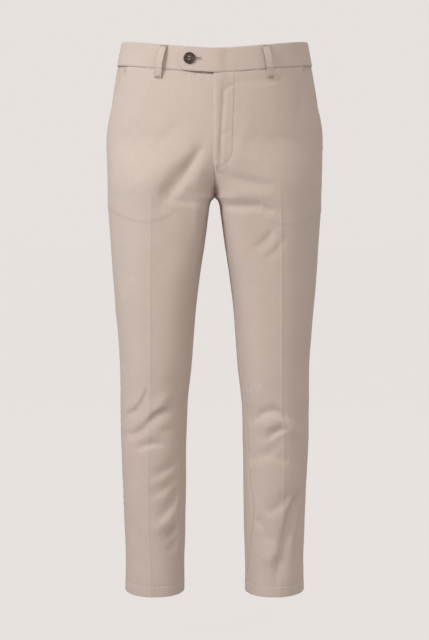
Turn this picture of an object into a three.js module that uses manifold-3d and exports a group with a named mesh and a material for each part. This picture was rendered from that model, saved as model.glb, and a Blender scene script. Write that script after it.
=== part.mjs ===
// Flat-front trousers, held open as on a wearer: thin hollow walls of cloth in millimetres, +Z up.
// The front faces -Y and the wearer's left is +X. The origin is the centre of the waist opening.
// Each panel is cut, sewn and named as a maker would: fronts, backs, waistband, facings and loops.
import * as THREE from "three";
import { mergeVertices } from "three/addons/utils/BufferGeometryUtils.js";
import Module from "manifold-3d";

const wasm = await Module();
wasm.setup();

// ---- driving dimensions ----
const seamGap = 0.3; // between neighbouring pieces
const waistSeamGap = 0.6; // the band's edge and the panels' bend differently round the waist
const clothWall = 1.5; // the panels, with their inner turnings
const hemLevel = -986;
const saddleLevel = -273; // where the crotch seams cross
const bandHeight = 42;
const bandWall = 2.6; // two layers and the interfacing between them
const bandProud = 0.8; // how far the band stands out from the panels below it
const frontDip = 19.5; // the waist edge is this much lower at the centre front than at the sides
const backRise = 2;
const dipEndLevel = -230; // below this the rows are level
const flyOffset = -2.6; // the fly edge lies a little to the wearer's right
const flyEndLevel = -200; // below it the fly edge runs over to the middle
const flyMergeLevel = -255;
const creaseHeight = 5; // the pressed creases
const creaseReach = 15;
const sideTurn = 0; // a turn goes round one leg, from its side over its front and inner side to its back
const quarterTurn = Math.PI / 2;
const innerTurn = Math.PI;
const wholeTurn = 2 * Math.PI;

// Half of the body's outline at each level: how far the side, the inner leg, the front and the back
// lie from the centre planes. Above the saddle the legs are one tube, so the inner leg is at 0.
const sections = [
  { level: 0, side: 165, inner: 0, front: 107, back: 107 },
  { level: -42, side: 173, inner: 0, front: 112, back: 114 },
  { level: -100, side: 183, inner: 0, front: 117, back: 127 },
  { level: -175, side: 193, inner: 0, front: 121, back: 138 },
  { level: -243, side: 193, inner: 0, front: 117, back: 131 },
  { level: -273, side: 192, inner: 0, front: 112, back: 124 },
  { level: -300, side: 191, inner: 6.5, front: 107, back: 118 },
  { level: -350, side: 188, inner: 13.5, front: 101, back: 109 },
  { level: -458, side: 180.5, inner: 32, front: 91, back: 95 },
  { level: -567, side: 172, inner: 40, front: 82, back: 85 },
  { level: -640, side: 171, inner: 46, front: 76, back: 80 },
  { level: -713, side: 170.5, inner: 49.5, front: 72, back: 77 },
  { level: -786, side: 167.5, inner: 51.5, front: 69, back: 77 },
  { level: -860, side: 165, inner: 53, front: 67, back: 75 },
  { level: -934, side: 162.5, inner: 55.5, front: 66, back: 71 },
  { level: hemLevel, side: 163, inner: 56, front: 67, back: 68 },
];

// Where the one tube starts to part into two legs, and how quickly it does.
const parting = {
  front: { level: -150, power: 2 },
  back: { level: -110, power: 1.6 },
};

// The pressed creases: distance from the middle, and share of the full height, at each level.
const creases = [
  { level: -42, across: 104, front: 0, back: 0 },
  { level: -200, across: 114, front: 0, back: 0 },
  { level: -300, across: 118, front: 1, back: 0 },
  { level: -420, across: 118, front: 1, back: 1 },
  { level: -640, across: 118, front: 1, back: 1 },
  { level: -750, across: 121, front: 0.9, back: 1 },
  { level: -934, across: 116, front: 0.9, back: 1 },
  { level: hemLevel, across: 115, front: 0.8, back: 0.9 },
];

// The inseams swing forward on the calf: how far in from the inner edge each one lies.
const inseams = [
  { level: -300, right: 0.5, left: 0.5 },
  { level: -560, right: 5, left: 4 },
  { level: -640, right: 7, left: 7 },
  { level: -713, right: 5, left: 8 },
  { level: -786, right: 9, left: 11 },
  { level: -835, right: 11, left: 17 },
  { level: -896, right: 8, left: 9 },
  { level: -950, right: 2, left: 3 },
  { level: hemLevel, right: 0.5, left: 1 },
];

// The largest folds, as soft troughs from one point to another on the panel's face.
const folds = {
  front_right: [
    { fromX: -20, fromLevel: -180, toX: -88, toLevel: -282, depth: 8, reach: 17 },
    { fromX: -112, fromLevel: -622, toX: -150, toLevel: -668, depth: 4, reach: 16 },
    { fromX: -92, fromLevel: -668, toX: -124, toLevel: -700, depth: 6, reach: 15 },
    { fromX: -66, fromLevel: -800, toX: -96, toLevel: -880, depth: 4, reach: 16 },
  ],
  front_left: [
    { fromX: 16, fromLevel: -292, toX: 84, toLevel: -290, depth: 6, reach: 14 },
    { fromX: 70, fromLevel: -668, toX: 122, toLevel: -664, depth: 5, reach: 15 },
    { fromX: 152, fromLevel: -806, toX: 118, toLevel: -954, depth: 6, reach: 16 },
  ],
  back_right: [
    { fromX: -30, fromLevel: -296, toX: -120, toLevel: -318, depth: 6, reach: 18 },
    { fromX: -76, fromLevel: -640, toX: -150, toLevel: -672, depth: 5, reach: 17 },
  ],
  back_left: [
    { fromX: 26, fromLevel: -302, toX: 112, toLevel: -330, depth: 6, reach: 18 },
    { fromX: 84, fromLevel: -676, toX: 152, toLevel: -640, depth: 5, reach: 17 },
  ],
};

// Rows down a panel, closer where the shape turns quickly.
const rowSpans = [
  { from: -bandHeight - waistSeamGap, to: -190, rows: 6 },
  { from: -190, to: -250, rows: 4 },
  { from: -250, to: saddleLevel, rows: 5 },
  { from: saddleLevel, to: -300, rows: 3 },
  { from: -300, to: -590, rows: 9 },
  { from: -590, to: -760, rows: 7 },
  { from: -760, to: hemLevel, rows: 8 },
];

// Columns across a panel, as shares of the way to the crease and from the crease to the inner seam.
const frontColumns = { outer: [0, 0.12, 0.28, 0.55, 0.84, 1], inner: [0, 0.16, 0.4, 0.62, 0.84, 1] };
const backColumns = { outer: [0, 0.26, 0.55, 0.83, 1], inner: [0, 0.18, 0.44, 0.72, 1] };

const pocket = { top: 48, endLevel: -190, underlap: 12, beneath: 1.2, rows: 9 };
const band = { columns: 26, rows: 2 };
// The band's extension over the other half: it rises to lie on top, and ends in a blunt point.
const tab = { reach: 61, shoulder: 47, pointHalf: 7, riseFrom: 24, columns: 14, rows: 4 };
const loop = { width: 12.6, thickness: 2, bow: 6, topLevel: -1, belowSeam: 17, rows: 9 };
const loopPlaces = [
  { name: "belt_loop_front_right", side: -1, across: 94.5, turnSide: 1 },
  { name: "belt_loop_front_left", side: 1, across: 94.5, turnSide: 1 },
  { name: "belt_loop_back_right", side: -1, across: 92, turnSide: -1 },
  { name: "belt_loop_back_left", side: 1, across: 92, turnSide: -1 },
  { name: "belt_loop_centre_back", side: 1, across: 0, turnSide: -1 },
];
const button = { across: -42.5, level: -21, radius: 10, thick: 3.6, rim: 1.8, dish: 1, faces: 32 };
const buttonHoles = { radius: 0.9, spread: 2.1, faces: 10 };
const shankRadius = 1.2;
const buttonhole = { eyelet: 2, slitWidth: 1, slitEnd: -23.4, faces: 16 };

const finishes = {
  cloth: { color: 0xc8b3a2, roughness: 0.9, metalness: 0 },
  horn: { color: 0x3b2a21, roughness: 0.4, metalness: 0 },
  thread: { color: 0xb9a48f, roughness: 0.9, metalness: 0 },
};

// ---- curves through the tables ----

// Reads a column of a table at a level, on a smooth curve through its rows, which go downwards.
function along(rows, column, level) {
  const last = rows.length - 1;
  if (level >= rows[0].level) return rows[0][column];
  if (level <= rows[last].level) return rows[last][column];
  const i = rows.findIndex((row, j) => j < last && level > rows[j + 1].level);
  const slopeAt = (j) => {
    const above = rows[Math.max(j - 1, 0)];
    const below = rows[Math.min(j + 1, last)];
    return (above[column] - below[column]) / (above.level - below.level);
  };
  const step = rows[i + 1].level - rows[i].level;
  const t = (level - rows[i].level) / step;
  const startWeight = 2 * t ** 3 - 3 * t ** 2 + 1;
  const startSlope = (t ** 3 - 2 * t ** 2 + t) * step * slopeAt(i);
  const endSlope = (t ** 3 - t ** 2) * step * slopeAt(i + 1);
  return startWeight * rows[i][column] + (1 - startWeight) * rows[i + 1][column] + startSlope + endSlope;
}

// How far the tube has parted into two legs at a level: 0 is one oval, 1 is two legs that touch.
function partedShare(face, level) {
  const { level: start, power } = parting[face];
  return THREE.MathUtils.clamp((start - level) / (start - saddleLevel), 0, 1) ** power;
}

// The oval of one leg, or of half the trunk, at a level: its centre, half width and half depth.
function oval(face, level) {
  const side = along(sections, "side", level);
  const depth = along(sections, face, level);
  if (level <= saddleLevel) {
    const inner = along(sections, "inner", level);
    return { centre: (side + inner) / 2, half: (side - inner) / 2, depth };
  }
  const parted = partedShare(face, level);
  return { centre: (parted * side) / (1 + parted), half: side / (1 + parted), depth };
}

const faceAt = (turn) => (turn >= sideTurn && turn <= innerTurn ? "front" : "back");

// The waist edge dips at the front and rises at the back, and the rows below level out.
function dipAt(turn, level) {
  const round = Math.sin(turn);
  const share = (1 - Math.abs(Math.cos(turn)) + round * round) / 2;
  const drop = round >= 0 ? -frontDip : backRise;
  return drop * share * THREE.MathUtils.smoothstep(level, dipEndLevel, -bandHeight);
}

// A point of the outer face without folds. `side` is 1 on the wearer's left and -1 on the right.
function barePoint(side, turn, level) {
  const face = faceAt(turn);
  const { centre, half, depth } = oval(face, level);
  const across = centre + half * Math.cos(turn);
  const crease = along(creases, face, level) * creaseHeight;
  const offCrease = Math.abs(across - along(creases, "across", level));
  const ridge = crease * Math.exp(-offCrease / creaseReach) * Math.abs(Math.sin(turn));
  const forward = Math.sin(turn) * depth + Math.sign(Math.sin(turn)) * ridge;
  return new THREE.Vector3(side * across, -forward, level + dipAt(turn, level));
}

function outwardAt(side, turn, level) {
  const step = 0.4;
  const turnStep = step / 100;
  const round = barePoint(side, turn + turnStep, level).sub(barePoint(side, turn - turnStep, level));
  const down = barePoint(side, turn, level - step).sub(barePoint(side, turn, level + step));
  return round.cross(down).multiplyScalar(side).normalize();
}

// How deep the folds of one panel are at a point of it.
function foldDepth(panel, point) {
  let depth = 0;
  for (const fold of folds[panel] ?? []) {
    const start = new THREE.Vector2(fold.fromX, fold.fromLevel);
    const run = new THREE.Vector2(fold.toX, fold.toLevel).sub(start);
    const here = new THREE.Vector2(point.x, point.z).sub(start);
    const share = THREE.MathUtils.clamp(here.dot(run) / run.lengthSq(), 0, 1);
    const off = here.sub(run.clone().multiplyScalar(share)).length() / fold.reach;
    depth += fold.depth * Math.exp(-off * off);
  }
  return depth;
}

// A point at a height over the outer face, folds included.
function clothPoint(panel, side, turn, level, height) {
  const point = barePoint(side, turn, level);
  const outward = outwardAt(side, turn, level);
  return point.addScaledVector(outward, height - foldDepth(panel, point));
}

// The turn that lies a distance along the cloth from another turn at the same level.
function turnBeside(turn, level, distance) {
  const { half, depth } = oval(faceAt(turn), level);
  return turn + distance / Math.hypot(half * Math.sin(turn), depth * Math.cos(turn));
}

// The turn on one face at which the cloth is `across` from the middle.
function turnAcross(face, level, across) {
  const { centre, half } = oval(face, level);
  const turn = Math.acos(THREE.MathUtils.clamp((across - centre) / half, -1, 1));
  return face === "front" ? turn : wholeTurn - turn;
}

// ---- walls from grids ----

// Puts triangles that may face inwards the right way round.
function facingOut(geometry) {
  const { array: p } = geometry.attributes.position;
  const index = geometry.index.array;
  const corner = (i) => new THREE.Vector3(p[3 * index[i]], p[3 * index[i] + 1], p[3 * index[i] + 2]);
  let volume = 0;
  for (let i = 0; i < index.length; i += 3) volume += corner(i).dot(corner(i + 1).cross(corner(i + 2)));
  if (volume < 0) geometry.setIndex(Array.from(index).reverse());
  return geometry;
}

// One closed wall from a grid of points: `place(row, column, 0)` is its inner face, and 1 its outer.
function wallGeometry(rowCount, columnCount, place) {
  const positions = [];
  const index = [];
  const number = (row, column, layer) => (row * columnCount + column) * 2 + layer;
  for (let row = 0; row < rowCount; row++)
    for (let column = 0; column < columnCount; column++)
      for (const layer of [0, 1]) positions.push(...place(row, column, layer).toArray());
  const quad = (a, b, c, d) => index.push(a, b, c, a, c, d);
  const cell = (row, column, layer) => [
    number(row, column, layer),
    number(row + 1, column, layer),
    number(row + 1, column + 1, layer),
    number(row, column + 1, layer),
  ];
  for (let row = 0; row < rowCount - 1; row++)
    for (let column = 0; column < columnCount - 1; column++) {
      quad(...cell(row, column, 1));
      quad(...cell(row, column, 0).reverse());
    }
  const rim = (row1, column1, row2, column2) =>
    quad(
      number(row1, column1, 0),
      number(row2, column2, 0),
      number(row2, column2, 1),
      number(row1, column1, 1),
    );
  const lastRow = rowCount - 1;
  const lastColumn = columnCount - 1;
  for (let row = 0; row < lastRow; row++) {
    rim(row, 0, row + 1, 0);
    rim(row + 1, lastColumn, row, lastColumn);
  }
  for (let column = 0; column < lastColumn; column++) {
    rim(0, column + 1, 0, column);
    rim(lastRow, column, lastRow, column + 1);
  }
  const geometry = new THREE.BufferGeometry();
  geometry.setAttribute("position", new THREE.Float32BufferAttribute(positions, 3));
  geometry.setIndex(index);
  return facingOut(geometry);
}

function solidOf(geometry) {
  const bare = geometry.clone().deleteAttribute("normal").deleteAttribute("uv");
  const merged = mergeVertices(bare, 1e-4);
  return new wasm.Manifold(
    new wasm.Mesh({
      numProp: 3,
      vertProperties: merged.attributes.position.array,
      triVerts: new Uint32Array(merged.index.array),
    }),
  );
}

function geometryOf(solid) {
  const mesh = solid.getMesh();
  const geometry = new THREE.BufferGeometry();
  geometry.setAttribute("position", new THREE.BufferAttribute(mesh.vertProperties, 3));
  geometry.setIndex(new THREE.BufferAttribute(mesh.triVerts, 1));
  return geometry;
}

const root = new THREE.Group();
const nameOf = (piece, side) => piece + (side > 0 ? "_left" : "_right");

function addPiece(name, geometry, finish, parent = root) {
  const mesh = new THREE.Mesh(geometry, new THREE.MeshStandardMaterial(finishes[finish]));
  mesh.name = name;
  parent.add(mesh);
}

// ---- panels ----

const panelLevels = rowSpans.flatMap(({ from, to, rows }, i) =>
  Array.from({ length: rows + (i === 0) }, (_, j) => from + ((to - from) * (j + (i > 0))) / rows),
);

// The centre seam: the fly edge above, and the middle below it.
const centreAcross = (level) => flyOffset * THREE.MathUtils.smoothstep(level, flyMergeLevel, flyEndLevel);

// The turn at which a panel ends at the centre seam or, on the leg, at the inseam.
function innerEdgeTurn(face, side, level) {
  const { centre, half, depth } = oval(face, level);
  const offMiddle = face === "front" ? side * centreAcross(level) : 0;
  if (level > saddleLevel && centre - half < offMiddle - seamGap) {
    return turnAcross(face, level, offMiddle + seamGap / 2);
  }
  const swing = along(inseams, side > 0 ? "left" : "right", level);
  const seamTurn = innerTurn - Math.acos(1 - swing / half);
  const toSeam = seamGap / 2 / Math.hypot(half * Math.sin(seamTurn), depth * Math.cos(seamTurn));
  if (level > saddleLevel) return innerTurn + (face === "front" ? -1 : 1) * toSeam;
  return seamTurn + (face === "front" ? -1 : 1) * toSeam;
}

// How far the slanted pocket edge lies in front of the side seam.
function pocketSlant(level) {
  return pocket.top * THREE.MathUtils.clamp((level - pocket.endLevel) / (-bandHeight - pocket.endLevel), 0, 1);
}

function sideEdgeTurn(face, level) {
  if (face === "back") return turnBeside(wholeTurn, level, -seamGap / 2);
  return turnBeside(sideTurn, level, pocketSlant(level) + seamGap / 2);
}

function panelTurns(face, side, level, columns) {
  const start = sideEdgeTurn(face, level);
  const crease = turnAcross(face, level, along(creases, "across", level));
  const end = innerEdgeTurn(face, side, level);
  const outer = columns.outer.map((share) => THREE.MathUtils.lerp(start, crease, share));
  const inner = columns.inner.slice(1).map((share) => THREE.MathUtils.lerp(crease, end, share));
  return [...outer, ...inner];
}

function addPanel(face, side) {
  const name = nameOf(face, side);
  const columns = face === "front" ? frontColumns : backColumns;
  const turns = panelLevels.map((level) => panelTurns(face, side, level, columns));
  const place = (row, column, layer) =>
    clothPoint(name, side, turns[row][column], panelLevels[row], (layer - 1) * clothWall);
  addPiece(name, wallGeometry(panelLevels.length, turns[0].length, place), "cloth");
}

// The facing shows in the slanted pocket opening and tucks under the front's edge.
function addPocketFacing(side) {
  const shares = [0, 1 / 3, 2 / 3, 1];
  const topLevel = -bandHeight - waistSeamGap;
  const height = -(clothWall + pocket.beneath);
  const place = (row, column, layer) => {
    const level = THREE.MathUtils.lerp(topLevel, pocket.endLevel, row / pocket.rows);
    const start = turnBeside(sideTurn, level, seamGap / 2);
    const end = turnBeside(sideTurn, level, pocketSlant(level) + pocket.underlap);
    const turn = THREE.MathUtils.lerp(start, end, shares[column]);
    return clothPoint("facing", side, turn, level, height + (layer - 1) * clothWall);
  };
  addPiece(nameOf("pocket_facing", side), wallGeometry(pocket.rows + 1, shares.length, place), "cloth");
}

// ---- waistband ----

// A half band through a list of turns. `liftAt` and `halfAt` give its lift and half height there.
function bandWallGeometry(side, turns, rows, liftAt, halfAt) {
  const place = (row, column, layer) => {
    const turn = turns[column];
    const half = halfAt(turn);
    const level = bandMiddle + half - (2 * half * row) / rows;
    return clothPoint("band", side, turn, level, bandProud + liftAt(turn) + (layer - 1) * bandWall);
  };
  return wallGeometry(rows + 1, turns.length, place);
}

const bandMiddle = -bandHeight / 2;
const bandBackEnd = turnAcross("back", bandMiddle, seamGap / 2) - wholeTurn;
const turnsBetween = (from, to, columns, ease = (share) => share) =>
  Array.from({ length: columns + 1 }, (_, i) => THREE.MathUtils.lerp(from, to, ease(i / columns)));

function addRightBand() {
  const turns = turnsBetween(bandBackEnd, turnAcross("front", bandMiddle, seamGap), band.columns);
  const geometry = bandWallGeometry(-1, turns, band.rows, () => 0, () => bandHeight / 2);
  addPiece("waistband_right", geometry, "cloth");
}

const bandOval = oval("front", bandMiddle);
const acrossAt = (turn) => bandOval.half * Math.cos(turn);
const tabLift = bandWall + seamGap;

// The left half rises over the right one as its extension passes the middle.
function tabLiftAt(turn) {
  if (turn < sideTurn) return 0;
  return tabLift * THREE.MathUtils.smoothstep(-acrossAt(turn), -tab.riseFrom, flyOffset);
}

function tabHalfAt(turn) {
  const past = THREE.MathUtils.clamp((-acrossAt(turn) - tab.shoulder) / (tab.reach - tab.shoulder), 0, 1);
  return THREE.MathUtils.lerp(tab.pointHalf, bandHeight / 2, Math.sqrt(1 - past ** 2));
}

// A keyhole buttonhole: a round eyelet at the button and a slit running back from it.
function buttonholeSolids() {
  const deep = 12;
  const frame = bandFrame(button.across);
  const eyelet = new THREE.CylinderGeometry(buttonhole.eyelet, buttonhole.eyelet, deep, buttonhole.faces);
  eyelet.applyMatrix4(frame);
  const length = buttonhole.slitEnd - button.across;
  const slit = new THREE.BoxGeometry(length, deep, buttonhole.slitWidth);
  slit.translate(length / 2, 0, 0);
  slit.applyMatrix4(frame);
  return [solidOf(eyelet), solidOf(slit)];
}

function addLeftBand() {
  const riseStart = turnAcross("front", bandMiddle, tab.riseFrom);
  const tip = turnAcross("front", bandMiddle, -tab.reach);
  const body = turnsBetween(bandBackEnd, riseStart, band.columns);
  const extension = turnsBetween(riseStart, tip, tab.columns, (share) => Math.sin(share * quarterTurn));
  const turns = [...body, ...extension.slice(1)];
  let solid = solidOf(bandWallGeometry(1, turns, tab.rows, tabLiftAt, tabHalfAt));
  for (const hole of buttonholeSolids()) solid = solid.subtract(hole);
  addPiece("waistband_left", geometryOf(solid), "cloth");
}

// ---- belt loops ----

function addLoop({ name, side, across, turnSide }) {
  const face = turnSide > 0 ? "front" : "back";
  const middle = turnAcross(face, bandMiddle, across);
  const bottomLevel = -bandHeight - loop.belowSeam;
  const columns = 3;
  const place = (row, column, layer) => {
    const t = row / loop.rows;
    const level = THREE.MathUtils.lerp(loop.topLevel, bottomLevel, t);
    const turn = turnBeside(middle, level, loop.width * (column / (columns - 1) - 0.5));
    const onBand = THREE.MathUtils.smoothstep(level, -bandHeight - waistSeamGap, -bandHeight + 1);
    const base = bandProud * onBand + seamGap;
    const bow = loop.bow * Math.sin(Math.PI * t) ** 0.8;
    return clothPoint(name, side, turn, level, base + bow + layer * loop.thickness);
  };
  addPiece(name, wallGeometry(loop.rows + 1, columns, place), "cloth");
}

// ---- button ----

// A frame on the band's outer face: local X goes along the band, and local Y out of it.
function bandFrame(across) {
  const turn = turnAcross("front", button.level, across);
  const outward = outwardAt(1, turn, button.level);
  const alongBand = new THREE.Vector3(-outward.y, outward.x, 0).normalize();
  const up = new THREE.Vector3().crossVectors(alongBand, outward);
  const place = clothPoint("band", 1, turn, button.level, bandProud);
  return new THREE.Matrix4().makeBasis(alongBand, outward, up).setPosition(place);
}

function buttonGeometry() {
  const { radius, thick, rim, dish, faces } = button;
  const edge = thick / 3;
  const profile = [
    new THREE.Vector2(0, 0),
    new THREE.Vector2(radius - rim, 0),
    new THREE.Vector2(radius, edge),
    new THREE.Vector2(radius, thick - edge),
    new THREE.Vector2(radius - rim / 2, thick),
    new THREE.Vector2(radius - rim, thick - dish / 4),
    new THREE.Vector2(radius - 2 * rim, thick - dish),
    new THREE.Vector2(0, thick - dish),
  ];
  let solid = solidOf(new THREE.LatheGeometry(profile, faces));
  for (const x of [-buttonHoles.spread, buttonHoles.spread])
    for (const z of [-buttonHoles.spread, buttonHoles.spread]) {
      const hole = new THREE.CylinderGeometry(
        buttonHoles.radius,
        buttonHoles.radius,
        3 * thick,
        buttonHoles.faces,
      );
      solid = solid.subtract(solidOf(hole.translate(x, 0, z)));
    }
  return geometryOf(solid);
}

function addButton() {
  const place = new THREE.Group();
  place.applyMatrix4(bandFrame(button.across));
  root.add(place);
  const seat = tabLift + seamGap;
  addPiece("button", buttonGeometry().translate(0, seat, 0), "horn", place);
  const length = seat - 2 * seamGap;
  const shank = new THREE.CylinderGeometry(shankRadius, shankRadius, length, buttonhole.faces);
  addPiece("button_shank", shank.translate(0, seamGap + length / 2, 0), "thread", place);
}

for (const side of [-1, 1]) {
  addPanel("front", side);
  addPanel("back", side);
  addPocketFacing(side);
}
addRightBand();
addLeftBand();
for (const place of loopPlaces) addLoop(place);
addButton();

export default root;
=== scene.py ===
# Flat-front linen trousers, hollow and held open as on a wearer.
# Metres, +Z up. The front faces -Y and the wearer's left is +X. The origin is the waist opening's centre.
import math
import bpy
import numpy as np
from mathutils import Matrix, Vector


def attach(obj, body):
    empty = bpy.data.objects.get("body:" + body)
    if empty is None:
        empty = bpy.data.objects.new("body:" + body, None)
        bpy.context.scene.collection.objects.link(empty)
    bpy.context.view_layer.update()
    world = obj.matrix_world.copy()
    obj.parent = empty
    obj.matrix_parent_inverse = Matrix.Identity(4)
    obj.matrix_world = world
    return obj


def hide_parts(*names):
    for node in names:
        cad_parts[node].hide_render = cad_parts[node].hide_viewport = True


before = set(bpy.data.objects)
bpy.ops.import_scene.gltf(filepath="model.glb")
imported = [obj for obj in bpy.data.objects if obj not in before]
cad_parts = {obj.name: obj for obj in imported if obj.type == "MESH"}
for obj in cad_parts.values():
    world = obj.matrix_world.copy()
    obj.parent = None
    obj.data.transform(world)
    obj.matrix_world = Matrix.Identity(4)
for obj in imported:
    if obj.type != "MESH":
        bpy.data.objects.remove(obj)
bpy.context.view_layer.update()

root = "root"


def handed(stem, side):  # the name of the right or left piece of a pair; side is 1 on the wearer's left
    return stem + ("_left" if side > 0 else "_right")


# The body's shape.

shapeColumns = ("level", "side", "inner", "front", "back", "blunt", "fullness")
shapeRows = [  # levels down from the waist, distances from the middle, and how square the inner half is
    (0, .165, 0, .107, .107, 0, 2),
    (-.042, .173, 0, .112, .114, 0, 2),
    (-.100, .182, 0, .117, .127, 0, 2),
    (-.175, .1918, 0, .121, .138, 0, 2.1),
    (-.243, .1918, 0, .117, .131, 0, 3.8),
    (-.273, .1908, 0, .112, .124, 0, 4.8),
    (-.281, .1906, .0020, .1107, .1224, .0048, 4.8),
    (-.300, .1898, .0065, .107, .118, .0037, 4.4),
    (-.350, .1868, .0135, .101, .109, .0035, 3.6),
    (-.458, .1793, .032, .091, .095, 0, 2.8),
    (-.567, .1708, .0405, .082, .085, 0, 2.4),
    (-.640, .1699, .0485, .076, .080, 0, 2.3),
    (-.713, .1694, .0512, .072, .077, 0, 2.3),
    (-.786, .1664, .0520, .069, .077, 0, 2.3),
    (-.860, .1639, .053, .067, .075, 0, 2.3),
    (-.934, .1615, .0555, .066, .071, 0, 2.3),
    (-.986, .162, .056, .067, .068, 0, 2.3),
]
shape = dict(zip(shapeColumns, zip(*shapeRows)))
creaseLine = {  # distance from the middle, and how sharp the press is at the front and the back
    "level": [-.042, -.200, -.245, -.300, -.420, -.640, -.700, -.750, -.840, -.934, -.986],
    "right": [.100, .106, .108, .110, .112, .1145, .1165, .1175, .1175, .1145, .1130],
    "left": [.104, .110, .112, .115, .117, .1190, .1225, .1235, .1225, .1190, .1165],
    "front": [0, .02, .22, .8, 1, 1, .75, .9, 1, 1, .9],
    "back": [0, 0, 0, .2, 1, 1, .8, .9, 1, 1, .9],
}
inseamSwing = {  # how far the inseam has swung forward from the leg's inner edge
    "level": [-.300, -.560, -.640, -.713, -.786, -.835, -.896, -.950, -.986],
    "right": [.0005, .005, .007, .005, .009, .011, .008, .002, .0005],
    "left": [.0005, .004, .007, .008, .011, .017, .009, .003, .001],
}
cut = {
    "saddle": -.273, "hem": -.986, "bandHeight": .042, "bandProud": .0008, "bandWall": .0026,
    "wall": .0015, "gap": .00012, "frontDip": .0195, "backRise": .002, "dipEnd": -.230,
    "flyAcross": -.0026, "flyEnd": -.200, "flyMerge": -.255, "underLap": .0045, "underEnds": (-.266, -.254),
    "creaseHeight": .0010, "creaseReach": .0021, "bluntReach": .009,
    "hemDepth": .019, "pocketTop": .053, "pocketEnd": -.190,
}
partingStart = {"front": -.165, "back": -.100}  # where the trunk begins to part into legs


def smooth(x, low, high):
    t = np.clip((x - low) / (high - low), 0, 1)
    return t * t * (3 - 2 * t)


def along(table, column, level):  # reads a column of a table at many levels, on a smooth curve
    x = -np.asarray(table["level"], float)
    y = np.asarray(table[column], float)
    at = np.clip(-np.asarray(level, float), x[0], x[-1])
    i = np.clip(np.searchsorted(x, at, side="right") - 1, 0, len(x) - 2)
    slope = np.empty_like(y)
    slope[1:-1] = (y[2:] - y[:-2]) / (x[2:] - x[:-2])
    slope[0] = (y[1] - y[0]) / (x[1] - x[0])
    slope[-1] = (y[-1] - y[-2]) / (x[-1] - x[-2])
    step = x[i + 1] - x[i]
    t = (at - x[i]) / step
    start = 2 * t**3 - 3 * t**2 + 1
    return (start * y[i] + (1 - start) * y[i + 1]
            + (t**3 - 2 * t**2 + t) * step * slope[i] + (t**3 - t**2) * step * slope[i + 1])


def legOval(face, level):  # centre, half width and depth of one leg, or of half the trunk
    side = along(shape, "side", level)
    depth = along(shape, face, level)
    parted = 1 - smooth(level, cut["saddle"], partingStart[face])
    inner = along(shape, "inner", level)
    onLeg = level <= cut["saddle"]
    centre = np.where(onLeg, (side + inner) / 2, parted * side / (1 + parted))
    half = np.where(onLeg, (side - inner) / 2, side / (1 + parted))
    return centre, half, depth


def ovalShares(turn, level):  # across and forward on an oval of size one, whose inner half is squarer
    cosine, sine = np.cos(turn), np.sin(turn)
    power = np.where(cosine < 0, along(shape, "fullness", level), 2)
    size = (np.abs(cosine) ** power + np.abs(sine) ** power) ** (1 / power)
    return cosine / size, sine / size


def turnAtShare(share, level):  # the turn, on the front, whose across share is given
    share = np.clip(share, -1, 1)
    power = np.where(share < 0, along(shape, "fullness", level), 2)
    return np.arctan2((1 - np.abs(share) ** power) ** (1 / power), share)


def creaseAcross(side, level):
    return along(creaseLine, "left" if side > 0 else "right", level)


def barePoint(side, turn, level, pressed=True):  # a turn goes round a leg: side, front, inner edge, back
    turn, level = np.broadcast_arrays(np.asarray(turn, float), np.asarray(level, float))
    isFront = (turn >= 0) & (turn <= math.pi)
    frontOval, backOval = legOval("front", level), legOval("back", level)
    centre, half, depth = [np.where(isFront, a, b) for a, b in zip(frontOval, backOval)]
    acrossShare, forwardShare = ovalShares(turn, level)
    across, forward = centre + half * acrossShare, depth * forwardShare
    toInner = half * (1 + acrossShare)
    across = across + np.maximum(along(shape, "blunt", level), 0) * np.exp(-toInner / cut["bluntReach"])
    if pressed:
        ridge = np.where(isFront, along(creaseLine, "front", level), along(creaseLine, "back", level))
        off = np.abs(across - creaseAcross(side, level))
        press = np.maximum(ridge, 0) * np.exp(-off / cut["creaseReach"])
        forward = forward + cut["creaseHeight"] * press * forwardShare
    share = (1 - np.abs(np.cos(turn)) + np.sin(turn) ** 2) / 2
    drop = np.where(forwardShare >= 0, -cut["frontDip"], cut["backRise"])
    dip = drop * share * smooth(level, cut["dipEnd"], -cut["bandHeight"])
    return np.stack([side * across, -forward, level + dip], -1)


def outward(side, turn, level):  # the direction straight out of the form, measured over a small step each way
    turnStep, levelStep = .003, .0003
    around = barePoint(side, turn + turnStep, level, False) - barePoint(side, turn - turnStep, level, False)
    down = barePoint(side, turn, level - levelStep, False) - barePoint(side, turn, level + levelStep, False)
    n = np.cross(around, down) * side
    return n / np.linalg.norm(n, axis=-1, keepdims=True)


def turnAcross(face, level, across):
    centre, half, _ = legOval(face, level)
    turn = turnAtShare((across - centre) / half, level)
    return turn if face == "front" else 2 * math.pi - turn


def turnSpeed(face, turn, level):  # metres of cloth for each radian
    _, half, depth = legOval(face, level)
    step = .002
    acrossAfter, forwardAfter = ovalShares(turn + step, level)
    acrossBefore, forwardBefore = ovalShares(turn - step, level)
    return np.hypot(half * (acrossAfter - acrossBefore), depth * (forwardAfter - forwardBefore)) / (2 * step)


# Folds.
# Each row is a soft trough: from x, level, to x, level, depth, reach, bow, lean. A depth below 0 is a ridge.
# The bow bends its middle sideways, and the lean makes one of its flanks steeper.

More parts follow.
